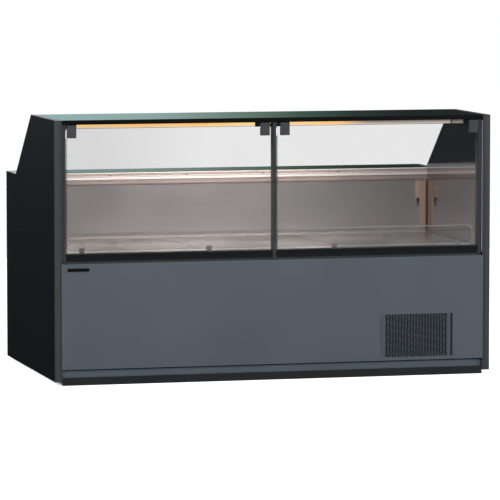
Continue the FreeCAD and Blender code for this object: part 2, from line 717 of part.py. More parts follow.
def control_fascia():
    """Moulded control box with wells for the keys and rocker switches."""
    body = box(*FASCIA_X, REAR_D, REAR_D + FASCIA_T, *FASCIA_Z)
    face = FRONT + REAR_D + FASCIA_T
    body = round_edges(body, 3.0, lambda b: b.YMin > face - 0.1)
    cuts = [box(FASCIA_X[0] + 3, FASCIA_X[1] - 3, REAR_D, REAR_D + FASCIA_T - 3, FASCIA_Z[0] + 3,
                FASCIA_Z[1] - 3)]
    half_w, half_h = SWITCH_SIZE[0] / 2 + 0.5, SWITCH_SIZE[1] / 2 + 1.2
    for x in SWITCH_X.values():
        cuts.append(box(x - half_w, x + half_w, REAR_D, REAR_D + 20, SWITCH_Z - half_h, SWITCH_Z + half_h))
    for x in KEYS.values():
        cuts.append(rod_y(REAR_D, REAR_D + 20, KEY_R + 0.4, x, KEY_Z))
    cuts.append(box(*DISPLAY_X, REAR_D, REAR_D + 20, *DISPLAY_Z))
    return body.cut(group(cuts))


def display_window():
    """Thermostat module: window in the fascia with the body of the controller behind it."""
    window = box(DISPLAY_X[0] + 0.3, DISPLAY_X[1] - 0.3, REAR_D + 6, REAR_D + FASCIA_T - 1,
                 DISPLAY_Z[0] + 0.3, DISPLAY_Z[1] - 0.3)
    body = box(DISPLAY_X[0] - 4, DISPLAY_X[1] + 4, REAR_D - 44, REAR_D + 6, KEY_Z - 8, DISPLAY_Z[1] + 2)
    return fuse([window, body])


def key(name):
    x = KEYS[name]
    cap = rod_y(REAR_D + 7.5, REAR_D + FASCIA_T + 1.6, KEY_R, x, KEY_Z)
    outer = FRONT + REAR_D + FASCIA_T + 1.6
    return round_edges(cap, 0.8, lambda b: b.YMin > outer - 0.1)


def rocker(name):
    """Rocker with a shallow V face, pivoted on a line along X, 4 mm behind the fascia's face."""
    x = SWITCH_X[name]
    half_w, half_h = SWITCH_SIZE[0] / 2, SWITCH_SIZE[1] / 2
    face = REAR_D + FASCIA_T
    outline = [(face - 8, SWITCH_Z - half_h + 3), (face + 3, SWITCH_Z - half_h), (face + 0.5, SWITCH_Z),
               (face + 3, SWITCH_Z + half_h), (face - 8, SWITCH_Z + half_h - 3)]
    return section_x(outline, x - half_w, x + half_w)


def cable_gland():
    """Gland for the supply cord, with its lock nut inside the panel."""
    x, z = GLAND
    body = rod_y(REAR_D - 9, REAR_D + 4, 7.8, x, z)
    flange = rod_y(REAR_D, REAR_D + 5, 13.0, x, z)
    dome = rod_y(REAR_D + 5, REAR_D + 19, 11.0, x, z)
    dome = round_edges(dome, 4.0, lambda b: b.YMin > FRONT + REAR_D + 18.9)
    nut = rod_y(REAR_D - SHEET - 5, REAR_D - SHEET, 13.0, x, z)
    bore = rod_y(REAR_D - 10, REAR_D + 20, 4.5, x, z)
    return fuse([body, flange, dome, nut]).cut(bore)


# ---- write ---------------------------------------------------------------------------
def nodes():
    made = {
        "base_frame": base_frame(),
        "levelling_feet": levelling_feet(),
        "plinth": plinth(),
        "kick_panel": kick_panel(),
        "front_panel": front_panel(),
        "sill_strips": sill_strips(),
        "sill_bumper": sill_bumper(),
        "end_post_left": mirror(end_post()),
        "end_post_right": end_post(),
        "centre_post": centre_post(),
        "top_profile": top_profile(),
        "top_glass": top_glass(),
        "light_beam": light_beam(),
        "led_diffuser": led_diffuser(),
        "hinge_pins": hinge_pins(),
        "hinge_brackets": hinge_brackets(),
        "worktop": worktop(),
        "worktop_carrier": worktop_carrier(),
        "worktop_rail": worktop_rail(),
        "rear_wall": rear_wall(),
        "tub_liner": tub_liner(),
        "tub_foam": tub_foam(),
        "return_grille": return_grille(),
        "air_guard": air_guard(),
        "deck_bearers": deck_bearers(),
        "evaporator": evaporator(),
        "fan_plate": fan_plate(),
        "drain_pipe": drain_pipe(),
        "condensing_base": condensing_base(),
        "condenser": condenser(),
        "condenser_shroud": condenser_shroud(),
        "compressor": compressor(),
        "rear_panel": rear_panel(),
        "control_fascia": control_fascia(),
        "display_window": display_window(),
        "cable_gland": cable_gland(),
        "condensate_tray": condensate_tray(),
        "condenser_fan": fan(*COND_FAN),
    }
    for name, make in (("end_cores", end_core), ("edge_trims", edge_trim)):
        made[name] = group([make(), mirror(make())])
    pairs = {"end_panel": end_skin, "end_liner": end_liner, "front_trim": front_trim}
    for name, make in pairs.items():
        right = make()
        made[name + "_right"] = right
        made[name + "_left"] = mirror(right)
    x, d, z, radius = EVAP_FAN
    for name, side in (("left", -1), ("right", 1)):
        made["front_glass_" + name] = pane(side)
        made["hinge_leaves_" + name] = hinge_leaves(side)
        made["evaporator_fan_" + name] = fan(side * x, d, z, radius)
    for i, name in enumerate(("left", "middle", "right")):
        made["deck_plate_" + name] = deck_plate(i)
    for name in KEYS:
        made[name] = key(name)
    for name in SWITCH_X:
        made[name] = rocker(name)
    return made


def main():
    os.makedirs("parts", exist_ok=True)
    for name, shape in nodes().items():
        shape.exportStep(os.path.join("parts", name + ".step"))


main()
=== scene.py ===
"""Looks of the refrigerated deli case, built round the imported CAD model.

Metres, in the frame's own axes: +X along the case, -Y the customer side, +Z up.
Places come from the CAD nodes' boxes, so the pieces follow the model.
"""

import json
import math

import bmesh
import bpy
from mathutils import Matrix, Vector

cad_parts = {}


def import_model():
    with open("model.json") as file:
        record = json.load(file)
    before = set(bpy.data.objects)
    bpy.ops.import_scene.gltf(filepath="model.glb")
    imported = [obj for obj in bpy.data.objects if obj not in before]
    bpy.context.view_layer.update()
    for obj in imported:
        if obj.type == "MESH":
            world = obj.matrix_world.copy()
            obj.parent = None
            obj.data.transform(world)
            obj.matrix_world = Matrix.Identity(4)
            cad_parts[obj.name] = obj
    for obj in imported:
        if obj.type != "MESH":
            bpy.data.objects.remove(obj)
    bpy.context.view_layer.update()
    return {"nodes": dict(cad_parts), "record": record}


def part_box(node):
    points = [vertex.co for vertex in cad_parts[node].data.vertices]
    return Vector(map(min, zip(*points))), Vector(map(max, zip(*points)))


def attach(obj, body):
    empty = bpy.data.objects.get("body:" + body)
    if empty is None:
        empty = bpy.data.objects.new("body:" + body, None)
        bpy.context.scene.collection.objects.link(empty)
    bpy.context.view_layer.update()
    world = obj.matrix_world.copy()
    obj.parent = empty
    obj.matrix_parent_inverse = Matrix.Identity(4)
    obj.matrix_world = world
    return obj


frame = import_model()

X, Y, Z = Vector((1, 0, 0)), Vector((0, 1, 0)), Vector((0, 0, 1))


# ---- shader helpers ------------------------------------------------------------------
def srgb(r, g, b):
    """Linear colour from display values 0 to 255."""
    def linear(v):
        v = v / 255.0
        return v / 12.92 if v <= 0.04045 else ((v + 0.055) / 1.055) ** 2.4
    return (linear(r), linear(g), linear(b), 1.0)


def scaled(colour, k):
    """Colour made k times as bright, up to white."""
    return tuple(min(1.0, c * k) for c in colour[:3]) + (1.0,)


class Graph:
    """Node chains that the materials and the world share."""

    def __init__(self, tree):
        self.nodes = tree.nodes
        self.links = tree.links

    def remap(self, value, low, high, to_low, to_high, smooth=False):
        node = self.nodes.new("ShaderNodeMapRange")
        node.interpolation_type = "SMOOTHSTEP" if smooth else "LINEAR"
        node.clamp = True
        limits = {"From Min": low, "From Max": high, "To Min": to_low, "To Max": to_high}
        for socket, number in limits.items():
            node.inputs[socket].default_value = number
        self.links.new(value, node.inputs["Value"])
        return node.outputs["Result"]

    def calc(self, how, a, b=0.0):
        node = self.nodes.new("ShaderNodeMath")
        node.operation = how
        for socket, value in zip(node.inputs, (a, b)):
            if isinstance(value, (int, float)):
                socket.default_value = value
            else:
                self.links.new(value, socket)
        return node.outputs[0]

    def blend(self, factor, a, b):
        node = self.nodes.new("ShaderNodeMix")
        node.data_type = "RGBA"
        self.links.new(factor, node.inputs["Factor"])
        for index, value in ((6, a), (7, b)):
            if isinstance(value, tuple):
                node.inputs[index].default_value = value
            else:
                self.links.new(value, node.inputs[index])
        return node.outputs[2]

    def ramp(self, factor, stops):
        node = self.nodes.new("ShaderNodeValToRGB")
        elements = node.color_ramp.elements
        while len(elements) < len(stops):
            elements.new(0.5)
        for element, (at, colour) in zip(elements, stops):
            element.position = at
            element.color = colour
        self.links.new(factor, node.inputs["Fac"])
        return node.outputs["Color"]


class Shader(Graph):
    """A Principled material with the texture chains that the looks below share."""

    def __init__(self, name, colour, rough=0.5, metal=0.0, specular=0.5, ior=1.5):
        self.mat = bpy.data.materials.new(name)
        self.mat.use_nodes = True
        super().__init__(self.mat.node_tree)
        self.bsdf = self.nodes["Principled BSDF"]
        self.colour = colour
        self.set("Base Color", colour)
        self.set("Roughness", rough)
        self.set("Metallic", metal)
        self.set("Specular IOR Level", specular)
        self.set("IOR", ior)
        self.place = self.nodes.new("ShaderNodeTexCoord")

    def set(self, socket, value):
        self.bsdf.inputs[socket].default_value = value

    def feed(self, socket, source):
        self.links.new(source, self.bsdf.inputs[socket])

    def noise(self, scale, stretch=(1, 1, 1), detail=2.0, seed=0.0):
        mapping = self.nodes.new("ShaderNodeMapping")
        mapping.inputs["Scale"].default_value = stretch
        mapping.inputs["Location"].default_value = (seed, seed * 0.7, seed * 1.3)
        node = self.nodes.new("ShaderNodeTexNoise")
        node.inputs["Scale"].default_value = scale
        node.inputs["Detail"].default_value = detail
        self.links.new(self.place.outputs["Object"], mapping.inputs["Vector"])
        self.links.new(mapping.outputs["Vector"], node.inputs["Vector"])
        return node.outputs["Fac"]

    def cells(self, scale, stretch=(1, 1, 1)):
        mapping = self.nodes.new("ShaderNodeMapping")
        mapping.inputs["Scale"].default_value = stretch
        node = self.nodes.new("ShaderNodeTexVoronoi")
        node.inputs["Scale"].default_value = scale
        self.links.new(self.place.outputs["Object"], mapping.inputs["Vector"])
        self.links.new(mapping.outputs["Vector"], node.inputs["Vector"])
        return node

    def axis(self, index, space="Object"):
        node = self.nodes.new("ShaderNodeSeparateXYZ")
        self.links.new(self.place.outputs[space], node.inputs["Vector"])
        return node.outputs[index]

    def bump(self, height, distance, strength=1.0):
        node = self.nodes.new("ShaderNodeBump")
        node.inputs["Strength"].default_value = strength
        node.inputs["Distance"].default_value = distance
        self.links.new(height, node.inputs["Height"])
        self.feed("Normal", node.outputs["Normal"])

    def clouds(self, amount=0.06, scale=3.0):
        """Slow, faint change of colour over the surface."""
        low, high = scaled(self.colour, 1 - amount), scaled(self.colour, 1 + amount)
        return self.blend(self.remap(self.noise(scale), 0.3, 0.7, 0, 1), low, high)


# ---- materials -----------------------------------------------------------------------
def powder_coat(name, colour, rough=0.42, grain=900.0, depth=0.00012, specular=0.4):
    """Powder-coated sheet: fine orange peel and a slightly uneven gloss."""
    s = Shader(name, colour, rough, specular=specular)
    s.feed("Base Color", s.clouds())
    s.feed("Roughness", s.remap(s.noise(grain / 8), 0.3, 0.7, rough - 0.06, rough + 0.06))
    s.bump(s.noise(grain, detail=3.0), depth)
    return s.mat


def panel_paint(name, colour, node):
    """Powder coat with a painted highlight: a brighter line along the sheet's folded edges."""
    s = Shader(name, colour, 0.42, specular=0.4)
    low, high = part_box(node)
    highlight_width = 0.004
    near = None
    for index, value in ((0, low[0]), (0, high[0]), (2, low[2]), (2, high[2])):
        gap = s.calc("ABSOLUTE", s.calc("SUBTRACT", s.axis(index), value))
        near = gap if near is None else s.calc("MINIMUM", near, gap)
    # Painted highlight: the colour turns brighter within a few millimetres of the folded edges, broken up by
    # noise.
    edge_highlight = s.calc("MULTIPLY", s.remap(near, 0.0, highlight_width, 0.5, 0.0, smooth=True), s.noise(60.0))
    s.feed("Base Color", s.blend(edge_highlight, s.clouds(0.05), scaled(colour, 2.2)))
    s.feed("Roughness", s.remap(s.noise(110.0), 0.3, 0.7, 0.37, 0.48))
    s.bump(s.noise(900.0, detail=3.0), 0.00012)
    return s.mat


def moulded(name, colour, rough=0.5, grain=1500.0, depth=0.0001, specular=0.35):
    """Moulded plastic or rubber with a fine spark-eroded grain."""
    s = Shader(name, colour, rough, specular=specular)
    s.feed("Base Color", s.clouds(0.1, 6.0))
    s.feed("Roughness", s.remap(s.noise(40.0), 0.3, 0.7, rough - 0.08, rough + 0.08))
    s.bump(s.noise(grain, detail=1.0), depth)
    return s.mat


def drawn_metal(name, colour, along, rough=0.35, metal=1.0, depth=0.000004, uneven=0.04):
    """Brushed or extruded metal: hairlines along one axis (0, 1 or 2)."""
    s = Shader(name, colour, rough, metal)
    stretch = [1.0, 1.0, 1.0]
    stretch[along] = 0.008
    hair = s.noise(2200.0, stretch=stretch, detail=2.0)
    tone = s.remap(hair, 0.3, 0.7, 0, 1)
    s.feed("Base Color", s.blend(tone, scaled(colour, 1 - uneven), scaled(colour, 1 + uneven)))
    s.feed("Roughness", s.remap(s.noise(5.0, detail=3.0), 0.3, 0.7, rough - 0.03, rough + 0.04))
    s.bump(hair, depth)
    s.set("Anisotropic", 0.4)
    return s.mat


def ridged_rail(name):
    """Anodised rail with painted light in bands along its height: painted highlights for the crests, painted
    shade for the flanks, and brown painted warm reflections.
    """
    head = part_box("worktop_rail")[1][2]
    foot = head - 0.036
    s = Shader(name, (0.8, 0.8, 0.8, 1.0), 0.42, 0.25, specular=0.3)
    height = s.remap(s.axis(2), foot, head, 0, 1)
    # The ramp's near-white bands are painted highlights, its dark bands painted shade and its brown bands
    # painted warm reflections.
    tone = s.ramp(height, [
        (0.00, (0.30, 0.19, 0.13, 1)), (0.08, (0.34, 0.22, 0.16, 1)), (0.14, (0.92, 0.90, 0.88, 1)),
        (0.34, (0.90, 0.90, 0.92, 1)), (0.40, (0.46, 0.42, 0.40, 1)), (0.47, (0.74, 0.70, 0.67, 1)),
        (0.60, (0.70, 0.65, 0.62, 1)), (0.66, (0.32, 0.27, 0.25, 1)), (0.74, (0.50, 0.42, 0.39, 1)),
        (0.88, (0.52, 0.45, 0.42, 1)), (0.94, (0.88, 0.86, 0.84, 1))])
    hair = s.noise(2200.0, stretch=(0.008, 1, 1))
    s.feed("Base Color", s.blend(s.remap(hair, 0.3, 0.7, 0.0, 0.12), tone, (0.55, 0.52, 0.50, 1.0)))
    s.feed("Roughness", s.remap(s.noise(6.0, detail=3.0), 0.3, 0.7, 0.39, 0.45))
    return s.mat


def polished_steel(name, colour):
    """Bright-annealed liner with faint hairlines and wiping marks."""
    s = Shader(name, colour, 0.08, 1.0)
    hair = s.noise(1800.0, stretch=(1, 0.01, 1), detail=2.0)
    smear = s.noise(7.0, detail=4.0)
    s.feed("Roughness", s.remap(smear, 0.35, 0.75, 0.07, 0.14))
    s.feed("Base Color", s.blend(s.remap(hair, 0.3, 0.7, 0, 1), scaled(colour, 0.95), scaled(colour, 1.04)))
    s.bump(hair, 0.000006)
    return s.mat


def zinc_steel(name, colour):
    """Galvanised sheet with soft spangles."""
    s = Shader(name, colour, 0.42, 0.85)
    spangle = s.cells(70.0)
    tone = s.remap(spangle.outputs["Distance"], 0.0, 0.9, 0, 1)
    s.feed("Base Color", s.blend(tone, scaled(colour, 0.82), scaled(colour, 1.12)))
    s.feed("Roughness", s.remap(s.noise(30.0), 0.3, 0.7, 0.34, 0.5))
    s.bump(s.noise(400.0), 0.00003)
    return s.mat


def back_painted_glass(name, colour, rough):
    """Toughened glass painted dark green behind, with the faint roller waves of tempering."""
    s = Shader(name, colour, rough, specular=0.5, ior=1.52)
    wave = s.noise(2.2, stretch=(1.0, 3.2, 1.0), detail=1.0, seed=2.0)
    s.feed("Base Color", s.clouds(0.12, 1.5))
    s.bump(wave, 0.0012)
    return s.mat


def clear_sheet(name, tint, edge, painted_shade_span):
    """Clear sheet, thin along Y, with bright polished edges.

    The last argument is the two places along X between which its opacity changes, and the opacity at each; the
    greater opacity toward the left is painted shade.
    """
    s = Shader(name, tint, 0.02, specular=0.35, ior=1.5)
    facing = s.calc("ABSOLUTE", s.axis(1, "Normal"))
    rim = s.remap(facing, 0.3, 0.8, 1.0, 0.0)
    s.feed("Base Color", s.blend(rim, tint, edge))
    # Painted shade: the sheet grows more opaque toward the left end.
    body = s.remap(s.axis(0), *painted_shade_span, smooth=True)
    mark = s.remap(s.noise(2.5, detail=3.0), 0.35, 0.75, 0.0, 0.015)
    s.feed("Alpha", s.calc("MAXIMUM", s.calc("ADD", body, mark), s.calc("MULTIPLY", rim, 0.8)))
    return s.mat


def guard_acrylic(name):
    """Air guard: a painted highlight, a bright rim, follows the rounded outline of the sheet."""
    low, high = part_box("air_guard")
    corner, rim_highlight_width = 0.030, 0.0045
    s = Shader(name, (0.22, 0.22, 0.225, 1.0), 0.05, specular=0.35, ior=1.5)
    squares = []
    for index in (0, 2):
        middle, half = (low[index] + high[index]) / 2, (high[index] - low[index]) / 2
        gap = s.calc("ABSOLUTE", s.calc("SUBTRACT", s.axis(index), middle))
        past = s.calc("MAXIMUM", s.calc("SUBTRACT", gap, half - corner), 0.0)
        squares.append(s.calc("MULTIPLY", past, past))
    reach = s.calc("SQRT", s.calc("ADD", squares[0], squares[1]))
    rim = s.remap(reach, corner - rim_highlight_width, corner - 0.001, 0.0, 1.0, smooth=True)
    # Painted highlight: near-white colour and higher opacity along the rounded rim.
    s.feed("Base Color", s.blend(rim, s.colour, (0.80, 0.78, 0.76, 1.0)))
    s.feed("Roughness", s.remap(s.noise(20.0), 0.3, 0.7, 0.04, 0.08))
    s.feed("Alpha", s.remap(rim, 0.0, 1.0, 0.13, 0.62))
    return s.mat


def warm_diffuser(name):
    """Lit opal diffuser: amber above and paler below, and cooler toward its right end."""
    s = Shader(name, srgb(60, 50, 38), 0.5)
    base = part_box("led_diffuser")[0][2]
    patch = s.remap(s.noise(2.6, stretch=(1.0, 0.2, 0.6), detail=2.0, seed=1.0), 0.3, 0.7, 0, 1)
    amber = s.ramp(patch, [(0.0, srgb(255, 182, 88)), (0.5, srgb(252, 206, 130)), (1.0, srgb(246, 196, 118))])
    foot = s.ramp(patch, [(0.0, srgb(242, 204, 150)), (0.5, srgb(236, 206, 170)), (1.0, srgb(238, 212, 184))])
    rise = s.remap(s.axis(2), base + 0.004, base + 0.012, 0, 1, smooth=True)
    warm = s.blend(rise, foot, amber)
    cool = s.blend(rise, srgb(186, 176, 168), srgb(132, 122, 114))
    end = s.remap(s.axis(0), 0.40, 0.62, 0, 1, smooth=True)
    s.feed("Emission Color", s.blend(end, warm, cool))
    s.set("Emission Strength", 1.35)
    return s.mat


def lit(name, colour, strength):
    s = Shader(name, scaled(colour, 0.2), 0.3)
    s.feed("Emission Color", s.clouds(0.05, 60.0))
    s.set("Emission Strength", strength)
    return s.mat


def foam(name, colour):
    s = Shader(name, colour, 0.9, specular=0.05)
    cell = s.cells(350.0).outputs["Distance"]
    s.feed("Base Color", s.blend(s.remap(cell, 0, 0.8, 0, 1), scaled(colour, 0.8), colour))
    s.bump(cell, 0.0008)
    return s.mat


def finned(name, colour, metal, rough):
    """Fin stock: bright punched edges over a darker body."""
    s = Shader(name, colour, rough, metal)
    s.feed("Base Color", s.blend(s.noise(90.0, stretch=(6, 1, 1)), scaled(colour, 0.7), scaled(colour, 1.15)))
    s.feed("Roughness", s.remap(s.noise(25.0), 0.3, 0.7, rough - 0.08, rough + 0.1))
    s.bump(s.noise(600.0, stretch=(1, 1, 0.2)), 0.00004)
    return s.mat


def copper(name):
    s = Shader(name, (0.72, 0.33, 0.19, 1.0), 0.3, 1.0)
    s.feed("Base Color", s.blend(s.noise(18.0, detail=4.0), (0.5, 0.2, 0.11, 1.0), (0.82, 0.42, 0.26, 1.0)))
    s.feed("Roughness", s.remap(s.noise(45.0), 0.3, 0.7, 0.22, 0.42))
    s.bump(s.noise(700.0), 0.00002)
    return s.mat


def sill_plastic(name):
    """Black sill, cooler and a shade lighter toward its foot."""
    low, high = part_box("sill_bumper")
    s = Shader(name, srgb(27, 28, 30), 0.38, specular=0.15)
    rise = s.remap(s.axis(2), low[2], low[2] + 0.4 * (high[2] - low[2]), 0, 1, smooth=True)
    s.feed("Base Color", s.blend(rise, srgb(32, 35, 40), srgb(22, 23, 25)))
    s.feed("Roughness", s.remap(s.noise(30.0, stretch=(0.1, 1, 1)), 0.3, 0.7, 0.32, 0.46))
    s.bump(s.noise(1300.0), 0.00008)
    return s.mat


def make_looks():
    steel = (0.62, 0.59, 0.57, 1.0)
    return {
        "graphite_panel": powder_coat("graphite_paint", srgb(17, 21, 27), 0.5, specular=0.10),
        "slate_paint": panel_paint("slate_paint", srgb(88, 97, 105), "front_panel"),
        # Kick panel: the front panel's slate made lighter, as painted light against the shade it sits in.
        "kick": powder_coat("kick_slate_painted_light", srgb(103, 115, 125), 0.42),
        "trim_grey": drawn_metal("trim_anodised", srgb(70, 74, 77), 2, 0.45, 0.35, uneven=0.05),
        "edge_dark": drawn_metal("edge_anodised", srgb(58, 62, 65), 1, 0.4, 0.4),
        "post_side": powder_coat("post_paint_matt", srgb(66, 67, 71), 0.55, specular=0.12),
        "hinge_grey": powder_coat("hinge_paint", srgb(73, 73, 78), 0.45, grain=1400.0, specular=0.2),
        "black_metal": powder_coat("black_paint", srgb(10, 10, 12), 0.4, specular=0.12),
        "black_plastic": moulded("black_plastic", srgb(42, 43, 45), 0.5, specular=0.15),
        "strip_grey": drawn_metal("strip_anodised", srgb(66, 70, 72), 0, 0.45, 0.3),
        "sill": sill_plastic("sill_plastic"),
        "dark_green_glass": back_painted_glass("green_glass", (0.010, 0.026, 0.021, 1.0), 0.06),
        # Panes: painted shade makes them more opaque toward the case's left end.
        "clear_glass": clear_sheet("pane_glass", (0.04, 0.045, 0.045, 1.0), (0.10, 0.16, 0.14, 1.0),
                                   (-0.95, -0.30, 0.19, 0.115)),
        "smoked_acrylic": guard_acrylic("acrylic"),
        "warm_diffuser": warm_diffuser("led_opal"),
        "stainless": drawn_metal("brushed_stainless", steel, 0, 0.30),
        "wall_steel": drawn_metal("wall_stainless", (0.44, 0.425, 0.43, 1.0), 0, 0.40, 0.9, depth=0.0000015,
                                  uneven=0.015),
        "polished_liner": polished_steel("mirror_stainless", (0.45, 0.42, 0.41, 1.0)),
        "rail_aluminium": drawn_metal("rail_aluminium", (0.86, 0.83, 0.81, 1.0), 0, 0.26, 0.6),
        "zinc_steel": zinc_steel("galvanised", (0.55, 0.56, 0.57, 1.0)),
        "foam": foam("foam", (0.80, 0.72, 0.48, 1.0)),
        "coil_aluminium": finned("fin_aluminium", (0.70, 0.71, 0.72, 1.0), 1.0, 0.35),
        "coil_black": finned("fin_black", (0.03, 0.03, 0.03, 1.0), 0.2, 0.5),
        "white_plastic": moulded("white_plastic", (0.72, 0.72, 0.70, 1.0), 0.4),
        "compressor_black": powder_coat("compressor_paint", srgb(22, 22, 24), 0.28, grain=300.0,
                                        depth=0.0003),
        "rear_paint": powder_coat("rear_paint", srgb(60, 63, 67), 0.45),
        "display_gloss": moulded("display_gloss", srgb(12, 12, 14), 0.16, depth=0.00001),
        "fan_plastic": moulded("fan_plastic", srgb(32, 32, 33), 0.45),
        "key_plastic": moulded("key_plastic", srgb(88, 88, 92), 0.42),
        "copper": copper("copper_pipe"),
        "ridged": ridged_rail("rail_ridges"),
        "cover": drawn_metal("cover_steel", (0.44, 0.30, 0.225, 1.0), 2, 0.42, 0.4),
        # Right post bead: its pale colour is a painted highlight.
        "bead": drawn_metal("bead_painted_highlight", (0.62, 0.62, 0.66, 1.0), 2, 0.35, 0.2),
        # Amber colour: a painted warm reflection along the rear wall's top edge.
        "warm_reflection_bead": moulded("warm_reflection_bead", (0.50, 0.28, 0.14, 1.0), 0.35),
        "corner_seal": moulded("corner_seal", srgb(58, 50, 46), 0.5),
        "bracket": drawn_metal("bracket_steel", (0.55, 0.41, 0.34, 1.0), 2, 0.42, 0.4),
        "badge_rim": drawn_metal("badge_rim", (0.09, 0.095, 0.10, 1.0), 0, 0.35, 0.4),
        "filter": foam("filter_pad", srgb(7, 8, 9)),
        "rubber": moulded("seal_rubber", srgb(22, 22, 23), 0.6),
        "taupe": moulded("taupe_profile", srgb(150, 140, 138), 0.38),
        "segments": lit("display_segments", (1.0, 0.42, 0.06, 1.0), 3.0),
        "mark": moulded("white_mark", srgb(205, 205, 205), 0.5),
        "screw": drawn_metal("screw_steel", (0.35, 0.35, 0.36, 1.0), 2, 0.35),
        "dark_screw": moulded("dark_screw", srgb(46, 44, 44), 0.4),
    }


LOOKS = make_looks()
LOOK_OF_NODE = {
    "rear_wall": "wall_steel", "sill_bumper": "sill", "kick_panel": "kick", "worktop_rail": "ridged",
    "end_post_left": "post_side", "centre_post": "post_side", "end_post_right": "post_side",
}


def dress_frame():
    """Every CAD node gets the look of its record slot, unless it has its own."""
    for row in frame["record"]["subparts"]:
        look = LOOKS[LOOK_OF_NODE.get(row["node"], row["material_slot"])]
        for holder in frame["nodes"][row["node"]].material_slots:
            holder.material = look


# ---- mesh helpers --------------------------------------------------------------------
def piece(name, bm, look, body="cabinet", angle=35.0):
    """Turn a bmesh into a named piece that rides on a body."""
    bmesh.ops.recalc_face_normals(bm, faces=bm.faces)
    mesh = bpy.data.meshes.new(name)
    bm.to_mesh(mesh)
    bm.free()
    mesh.materials.append(LOOKS[look])
    for polygon in mesh.polygons:
        polygon.use_smooth = True
    mesh.set_sharp_from_angle(angle=math.radians(angle))
    obj = bpy.data.objects.new(name, mesh)
    bpy.context.scene.collection.objects.link(obj)
    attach(obj, body)
    return obj


def round_rect(width, height, radius, steps=5):
    """Outline of a rectangle with round corners, about its centre."""
    points = []
    for quarter, (sx, sy) in enumerate(((1, 1), (-1, 1), (-1, -1), (1, -1))):
        cx, cy = sx * (width / 2 - radius), sy * (height / 2 - radius)
        for i in range(steps + 1):
            a = math.radians(90 * quarter + 90 * i / steps)
            points.append((cx + radius * math.cos(a), cy + radius * math.sin(a)))
    return points


def plate(bm, outline, origin, across, up, thickness, bevel=0.0):
    """Extrude an outline drawn on (across, up) by a thickness toward across x up."""
    out = across.cross(up)
    base = [bm.verts.new(origin + across * u + up * v) for u, v in outline]
    front = [bm.verts.new(v.co + out * thickness) for v in base]
    bm.faces.new(list(reversed(base)))
    lid = bm.faces.new(front)
    count = len(base)
    for i in range(count):
        j = (i + 1) % count
        bm.faces.new((base[i], base[j], front[j], front[i]))
    if bevel:
        bmesh.ops.bevel(bm, geom=list(lid.edges), offset=bevel, segments=3, affect="EDGES", profile=0.6)


def lathe(bm, profile, origin, out, steps=24, hexes=()):
    """Turn (radius, height) pairs about an axis. Rings listed in hexes are hexagonal."""
    side = out.orthogonal().normalized()
    other = out.cross(side)
    rings = []
    for index, (radius, height) in enumerate(profile):
        ring = []
        for i in range(steps):
            a = 2 * math.pi * i / steps
            r = radius
            if index in hexes:
                r = radius / math.cos((a + math.pi / 6) % (math.pi / 3) - math.pi / 6)
            ring.append(bm.verts.new(origin + out * height + (side * math.cos(a) + other * math.sin(a)) * r))
        rings.append(ring)
    for low, high in zip(rings, rings[1:]):
        for i in range(steps):
            j = (i + 1) % steps
            bm.faces.new((low[i], low[j], high[j], high[i]))
    bm.faces.new(list(reversed(rings[0])))
    bm.faces.new(rings[-1])


def screw(bm, origin, out, radius):
    """Button-head screw with a hexagon socket."""
    r, h = radius, radius * 0.55
    profile = [(r, 0.0), (r, h * 0.25), (r * 0.88, h * 0.62), (r * 0.66, h * 0.9), (r * 0.5, h),
               (r * 0.36, h), (r * 0.36, h * 0.35)]
    lathe(bm, profile, origin, out, hexes=(5, 6))


def screws(name, places, out, radius, look, body="cabinet"):
    """One piece made of a screw at each place."""
    bm = bmesh.new()
    for place in places:
        screw(bm, Vector(place), out, radius)
    piece(name, bm, look, body)


def bar(bm, outline, axis_low, axis_high):
    """Extrude a (y, z) outline along X."""
    ends = []
    for x in (axis_low, axis_high):
        ends.append([bm.verts.new((x, y, z)) for y, z in outline])
    count = len(outline)
    for i in range(count):
        j = (i + 1) % count
        bm.faces.new((ends[0][i], ends[0][j], ends[1][j], ends[1][i]))
    bm.faces.new(list(reversed(ends[0])))
    bm.faces.new(ends[1])


def bent_path(points, radius, steps=6):
    """Round the corners of a pipe's route."""
    path = [points[0]]
    for before, corner, after in zip(points, points[1:], points[2:]):
        a, b = (before - corner).normalized(), (after - corner).normalized()
        reach = radius * math.tan((math.pi - a.angle(b)) / 2)
        start, end = corner + a * reach, corner + b * reach
        for i in range(steps + 1):
            t = i / steps
            path.append(start * (1 - t) ** 2 + corner * 2 * t * (1 - t) + end * t ** 2)
    path.append(points[-1])
    return path


def pipe(name, points, radius, look, bend=0.03):
    """Rigid pipe along a route with rounded corners."""
    path = bent_path([Vector(p) for p in points], bend)
    bm = bmesh.new()
    steps = 16
    rings = []
    side = (path[1] - path[0]).orthogonal().normalized()
    for i, point in enumerate(path):
        ahead = path[min(i + 1, len(path) - 1)] - path[max(i - 1, 0)]
        ahead.normalize()
        side = (side - ahead * side.dot(ahead)).normalized()
        other = ahead.cross(side)
        rings.append([bm.verts.new(point + (side * math.cos(a) + other * math.sin(a)) * radius)
                      for a in (2 * math.pi * k / steps for k in range(steps))])
    for low, high in zip(rings, rings[1:]):
        for i in range(steps):
            j = (i + 1) % steps
            bm.faces.new((low[i], low[j], high[j], high[i]))
    bm.faces.new(list(reversed(rings[0])))
    bm.faces.new(rings[-1])
    piece(name, bm, look)


